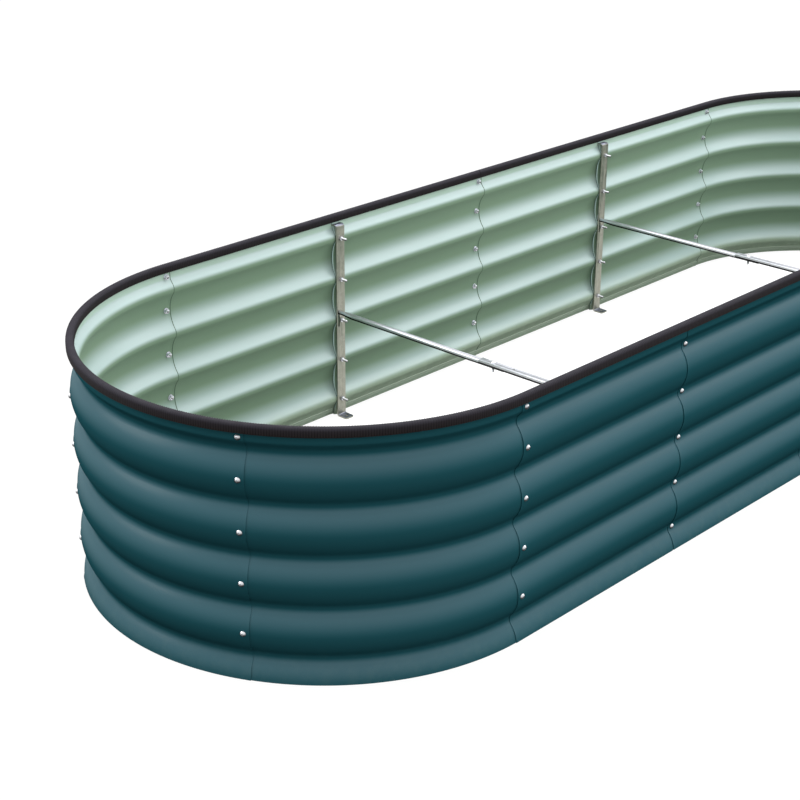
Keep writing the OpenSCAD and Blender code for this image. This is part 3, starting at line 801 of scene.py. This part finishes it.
# A merged copy of a CAD node, its flat faces joined, then a small round on every sharp edge
def roundedCopy(node, name, width, material):
    mesh = nodesOf[node].data.copy()
    mesh.name = name
    work = bmesh.new()
    work.from_mesh(mesh)
    bmesh.ops.remove_doubles(work, verts=work.verts, dist=steel["merge"])
    bmesh.ops.dissolve_limit(work, angle_limit=radians(steel["flatAngle"]), verts=work.verts,
                             edges=work.edges)
    bmesh.ops.recalc_face_normals(work, faces=work.faces)
    work.to_mesh(mesh)
    work.free()
    mesh.materials.clear()
    mesh.materials.append(material)
    mesh.polygons.foreach_set("material_index", np.zeros(len(mesh.polygons), np.int32))
    mesh.polygons.foreach_set("use_smooth", np.ones(len(mesh.polygons), bool))
    obj = addObject(name, mesh)
    bevel = obj.modifiers.new("edges", "BEVEL")
    bevel.width, bevel.segments = width * mm, steel["roundSteps"]
    bevel.limit_method, bevel.angle_limit = "ANGLE", radians(steel["sharpAngle"])
    bevel.harden_normals = True
    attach(obj, "root")
    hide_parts(node)


# Braces and crossbar halves take the part's own shapes, with rounded edges
def buildSteel():
    for node in [n for n in nodesOf if n.startswith("brace_") and n not in ("brace_bolts", "brace_nuts")]:
        roundedCopy(node, pieceName("brace", node), steel["braceRound"], metalOf["braceSteel"])
    for node in [n for n in nodesOf if n.startswith("crossbar_")]:
        finish = metalOf["nearBarZinc" if "near" in node else "barZinc"]
        roundedCopy(node, pieceName("bar", node), steel["barRound"], finish)


# Distance from the middle to a regular hexagon of that width across its flats, at each angle
def hexReach(width, turn):
    return width / 2 / np.cos((turn + pi / 6) % (pi / 3) - pi / 6)


# A surface turned about the Z axis: rows of radius and height, given for every angle
def turnedGrid(radius, height, turn):
    return np.stack([radius * np.cos(turn), radius * np.sin(turn), height], -1).reshape(-1, 3)


# The angles round a turned shape as one row, and a row of zeros beside it
def turnRow(sides):
    turn = np.linspace(0, 2 * pi, sides, endpoint=False)[None, :]
    return turn, np.zeros_like(turn)


bolt = {
    "width": 5.0, "sides": 18, "headWidth": 9.5, "headHeight": 3.2, "headRim": 0.25,
    "domeShares": (0.5, 0.7, 0.86, 0.96), "socket": 3.0, "socketDepth": 1.9,
    "threadPitch": 0.8, "threadDepth": 0.38, "threadStart": 3.0, "threadClear": 0.6, "rowsPerTurn": 4,
    "tipLength": 0.4, "tipCuts": (0.5, 0.9),
}


# A round-headed bolt, its head's flat underside at zero: a six-sided recess, a dome that is part of a
# sphere, a plain shank, and a thread whose radius falls and rises once in each pitch and each turn
def boltShape(length):
    turn, flat = turnRow(bolt["sides"])
    head, shank, high = bolt["headWidth"] / 2, bolt["width"] / 2, bolt["headHeight"]
    dome = (head ** 2 + high ** 2) / (2 * high)
    domeHeight = lambda r: np.sqrt(dome ** 2 - r ** 2) - dome + high
    socket = hexReach(bolt["socket"], turn)
    rows = [(socket, flat + high - bolt["socketDepth"]), (socket, domeHeight(socket))]
    rows += [(flat + head * share, domeHeight(flat + head * share)) for share in bolt["domeShares"]]
    rows += [(flat + head, flat + bolt["headRim"]), (flat + head, flat), (flat + shank, flat),
             (flat + shank, flat - bolt["threadStart"])]
    step = bolt["threadPitch"] / bolt["rowsPerTurn"]
    z = np.arange(bolt["threadStart"], length - bolt["threadClear"], step)[:, None]
    phase = (z / bolt["threadPitch"] + turn / (2 * pi)) % 1
    thread = shank - bolt["threadDepth"] * np.abs(2 * phase - 1)
    tips = [flat + shank - cut for cut in bolt["tipCuts"]]
    radius = np.vstack([r for r, _ in rows] + [thread] + tips)
    height = np.vstack([h for _, h in rows]
                       + [-z + 0 * turn, flat - length + bolt["tipLength"], flat - length])
    faces = gridFaces(*radius.shape, 0, wrapCols=True) + endFaces(*radius.shape)
    return turnedGrid(radius, height, turn + 0 * radius), faces


nut = {
    "width": 8.0, "height": 4.0, "bore": 5.1, "sides": 24,
    "rimInset": 0.1, "cutSlope": 0.577, "leastCut": 0.05,
}
washer = {"width": 11.0, "height": 1.0, "bore": 5.6, "sides": 24, "round": 0.2}


# A closed ring turned about Z from its section's rows of radius and height
def ringShape(radius, height, turn):
    return (turnedGrid(radius, height, turn + 0 * radius),
            gridFaces(*radius.shape, 0, wrapRows=True, wrapCols=True, flip=True))


# A six-sided nut standing on zero, its corners cut back by a flat cone at both ends
def nutShape():
    turn, flat = turnRow(nut["sides"])
    edge, high = hexReach(nut["width"], turn), flat + nut["height"]
    cut = (edge - nut["width"] / 2) * nut["cutSlope"] + nut["leastCut"]
    bore, rim = flat + nut["bore"] / 2, flat + nut["width"] / 2 - nut["rimInset"]
    return ringShape(np.vstack([bore, rim, edge, edge, rim, bore]),
                     np.vstack([flat, flat, cut, high - cut, high, high]), turn)


# A flat washer standing on zero, its outer edge a little rounded
def washerShape():
    turn, flat = turnRow(washer["sides"])
    outer, inner, high, soft = washer["width"] / 2, washer["bore"] / 2, washer["height"], washer["round"]
    return ringShape(np.vstack([flat + r for r in (inner, outer - soft, outer, outer, outer - soft, inner)]),
                     np.vstack([flat + h for h in (0, 0, soft, high - soft, high, high)]), turn)


# Copies one shape to many places. A place is its origin, the way its own Z points and a turn about it.
def scatter(shape, places):
    verts, faces = shape
    origin = np.array([p[0] for p in places], float)
    axis = np.array([p[1] for p in places], float)
    spin = np.array([p[2] for p in places], float)
    helper = np.where(np.abs(axis[:, 2:]) > 0.9, [[1.0, 0, 0]], [[0, 0, 1.0]])
    first = np.cross(helper, axis)
    first /= np.linalg.norm(first, axis=1, keepdims=True)
    second = np.cross(axis, first)
    across = first * np.cos(spin)[:, None] + second * np.sin(spin)[:, None]
    turn = np.stack([across, np.cross(axis, across), axis], 1)
    moved = np.einsum("vk,pkj->pvj", verts, turn) + origin[:, None, :]
    allFaces = [[i + k * len(verts) for i in face] for k in range(len(places)) for face in faces]
    return moved.reshape(-1, 3), allFaces


# The laps as (centre of the bed's end or the lap's X, angle of the wall's outward way in degrees)
def lapPlaces():
    plain, braced = [], []
    for t in range(5):
        for angle in (90.0, -90.0):
            (braced if t % 2 else plain).append((t * bed["panelPitch"] - halfSide, angle))
    for centre, turn in ((-halfSide, 0.0), (halfSide, 180.0)):
        plain += [(centre, nearLap + turn), (centre, farLap + turn)]
    return plain, braced


# Puts fasteners on every lap at the given heights, each at its own radius, pointing out or in
def alongLaps(laps, heights, radii, way, seed):
    spins = np.random.default_rng(seed).uniform(0, pi / 3, len(laps) * len(heights))
    places = []
    for centre, angle in laps:
        out = np.array([cos(radians(angle)), sin(radians(angle)), 0.0])
        for height, radius in zip(heights, radii):
            places.append((out * radius + [centre, 0, height], out * way, spins[len(places)]))
    return places


# Lengths in millimetres that the bolts reach past their nuts, a brace's thickness, and the clamps of the
# crossbars; the seeds turn each kind of fastener at random about its own axis
fasteners = {
    "lapTip": 2.0, "braceTip": 13.0, "braceThick": 3.0, "clampLength": 19.0, "clampSpin": 0.3,
    "seeds": {"lapBolts": 11, "lipBolts": 12, "lapWashers": 13, "lapNuts": 14,
              "braceBolts": 15, "braceNuts": 16}, "smoothAngle": 40.0,
}


# Makes one piece from all the fasteners of a kind
def finishFastener(name, node, verts, faces):
    finish = metalOf["boltZinc" if "Bolts" in name else "nutZinc"]
    obj = meshObject(name, verts * mm, faces, [finish], smoothAngle=fasteners["smoothAngle"])
    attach(obj, "root")
    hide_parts(node)


# How far a flat disc stands off a round surface on which it rests: the arc's rise over its half width
def discLift(radius, width):
    return radius - sqrt(radius ** 2 - (width / 2) ** 2)


# A plain lap has a bolt at every crest and one in the lip, with a washer and a nut inside; a braced lap
# has one in every valley, with its nut on the brace. From the wall's outer face inwards the radius falls
# by the lap, the washer's lift and the washer.
def buildFasteners():
    plain, braced = lapPlaces()
    seeds, gap = fasteners["seeds"], bed["lapGap"]
    heights = crestHeights + [bendEnd - bed["lipBend"] + washer["width"] / 2 + gap]
    faces = [bed["endRadius"]] * len(crestHeights) + [bed["endRadius"] - bed["lipInset"]]
    lifts = [discLift(crestRadius, washer["width"]) + gap] * len(crestHeights) + [gap]
    washers = [face - lapThick - lift for face, lift in zip(faces, lifts)]
    nuts = [w - washer["height"] for w in washers]
    grip = lapThick + washer["height"] + nut["height"] + fasteners["lapTip"]
    verts, polygons = scatter(boltShape(grip + lifts[0]),
                              alongLaps(plain, heights[:-1], faces[:-1], 1, seeds["lapBolts"]))
    topVerts, topPolygons = scatter(boltShape(grip + lifts[-1]),
                                    alongLaps(plain, heights[-1:], faces[-1:], 1, seeds["lipBolts"]))
    polygons += [[k + len(verts) for k in face] for face in topPolygons]
    finishFastener("lapBolts", "lap_bolts", np.vstack([verts, topVerts]), polygons)
    finishFastener("lapWashers", "lap_washers",
                   *scatter(washerShape(), alongLaps(plain, heights, washers, -1, seeds["lapWashers"])))
    finishFastener("lapNuts", "lap_nuts",
                   *scatter(nutShape(), alongLaps(plain, heights, nuts, -1, seeds["lapNuts"])))
    valleyFace = bed["endRadius"] - bed["depth"]
    head = valleyFace + discLift(bed["valleyRadius"], bolt["headWidth"]) + 2 * gap
    front = valleyFace - lapThick - gap - fasteners["braceThick"]
    length = head - front + nut["height"] + fasteners["braceTip"]
    finishFastener("braceBolts", "brace_bolts", *scatter(boltShape(length), alongLaps(
        braced, valleyHeights, [head] * bed["valleys"], 1, seeds["braceBolts"])))
    finishFastener("braceNuts", "brace_nuts", *scatter(nutShape(), alongLaps(
        braced, valleyHeights, [front] * bed["valleys"], -1, seeds["braceNuts"])))
    for name, node, shape in (("clampBolts", "clamp_bolts", boltShape(fasteners["clampLength"])),
                              ("clampNuts", "clamp_nuts", nutShape())):
        low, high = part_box(node)
        base = high[2] / mm - bolt["headHeight"] if node == "clamp_bolts" else low[2] / mm
        x = [(low[0] + high[0]) / 2 / mm - bed["panelPitch"] * side for side in (-1, 1)]
        places = [((v, 0, base), (0, 0, 1), fasteners["clampSpin"]) for v in x]
        finishFastener(name, node, *scatter(shape, places))


buildSteel()
buildFasteners()
print("steel done")


# Sizes and places in metres, lamps as name, place, watts and size. The papers lie just under the ground,
# so that nothing flickers against the feet. The world's light up, near and left is given as two limits of
# the view direction and the strength at each.
studio = {
    "floorSize": 14.0, "floorColour": (0.08, 0.08, 0.077), "floorDrop": 0.0006,
    "insideRadius": 0.404, "insideColour": (0.31, 0.31, 0.30), "insideDrop": 0.0003, "insideSteps": 25,
    "glow": 0.94, "paperRoughness": 0.9, "lampColour": (0.95, 0.985, 1.0),
    "lamps": [("topLight", (0.6, 0.6, 3.6), 92.0, (4.4, 3.4)),
              ("leftLight", (-2.9, 2.3, 2.4), 48.0, (2.2, 2.2)),
              ("rightLight", (2.7, -1.9, 2.4), 26.0, (2.2, 2.2))],
    "worldUp": (-0.1, 0.9, 0.85, 1.1), "worldNear": (0.0, -1.0, 1.0, 1.5), "worldLeft": (0.0, -1.0, 1.0, 0.6),
}


# 1 for rays that come straight from the camera or by a mirror or glass, else 0
def seenRay(tree):
    rays = addNode(tree, "ShaderNodeLightPath").outputs
    mirrored = mathNode(tree, "MAXIMUM", rays["Is Glossy Ray"], rays["Is Transmission Ray"])
    return mathNode(tree, "MAXIMUM", rays["Is Camera Ray"], mirrored)


# Paper that glows only for seen rays, so that it looks white but throws little light
def paperMaterial(name, colour):
    material = bpy.data.materials.new(name)
    material.use_nodes = True
    tree = material.node_tree
    shader = tree.nodes["Principled BSDF"]
    feedAll(tree, shader, {
        "Base Color": colour, "Roughness": studio["paperRoughness"], "Specular IOR Level": 0.0,
        "Emission Color": (1, 1, 1),
        "Emission Strength": times(tree, seenRay(tree), studio["glow"])})
    return material


# A large floor, and a paler oval of paper on it inside the bed: two half circles joined by straight sides
def buildFloor():
    size, drop = studio["floorSize"], studio["floorDrop"]
    verts = np.array([[-size, -size, -drop], [size, -size, -drop], [size, size, -drop], [-size, size, -drop]])
    meshObject("floor", verts, [[0, 1, 2, 3]], [paperMaterial("floorPaper", studio["floorColour"])])
    turn = np.linspace(-pi / 2, pi / 2, studio["insideSteps"])
    half = np.c_[halfSide * mm + studio["insideRadius"] * np.cos(turn), studio["insideRadius"] * np.sin(turn)]
    oval = np.vstack([half, -half])
    verts = np.c_[oval, np.full(len(oval), -studio["insideDrop"])]
    meshObject("floorInside", verts, [list(range(len(verts)))],
                        [paperMaterial("insidePaper", studio["insideColour"])])


# White where it is seen. As light it grows with height, is stronger from the near side and weaker from
# the left, each by its own share.
def buildWorld():
    world = bpy.data.worlds.new("studio")
    bpy.context.scene.world = world
    world.use_nodes = True
    tree = world.node_tree
    back = tree.nodes["Background"]
    coords = addNode(tree, "ShaderNodeTexCoord").outputs["Generated"]
    way = addNode(tree, "ShaderNodeSeparateXYZ", Vector=coords)
    high = mapRange(tree, way.outputs[2], *studio["worldUp"])
    near = mapRange(tree, way.outputs[1], *studio["worldNear"], smooth=False)
    left = mapRange(tree, way.outputs[0], *studio["worldLeft"], smooth=False)
    glow = times(tree, times(tree, high, near), left)
    seen = seenRay(tree)
    rest = times(tree, mathNode(tree, "SUBTRACT", 1.0, seen), glow)
    feed(tree, mathNode(tree, "ADD", seen, rest), back.inputs["Strength"])
    feed(tree, (1, 1, 1), back.inputs["Color"])


# Soft square lamps that look at the middle of the bed
def buildLamps():
    for name, place, power, size in studio["lamps"]:
        lamp = bpy.data.lights.new(name, "AREA")
        lamp.shape = "RECTANGLE"
        lamp.size, lamp.size_y = size
        lamp.energy = power
        lamp.color = studio["lampColour"]
        obj = addObject(name, lamp)
        obj.location = place
        obj.rotation_euler = Vector(place).to_track_quat("Z", "Y").to_euler()


buildFloor()
buildWorld()
buildLamps()
print("stage done")
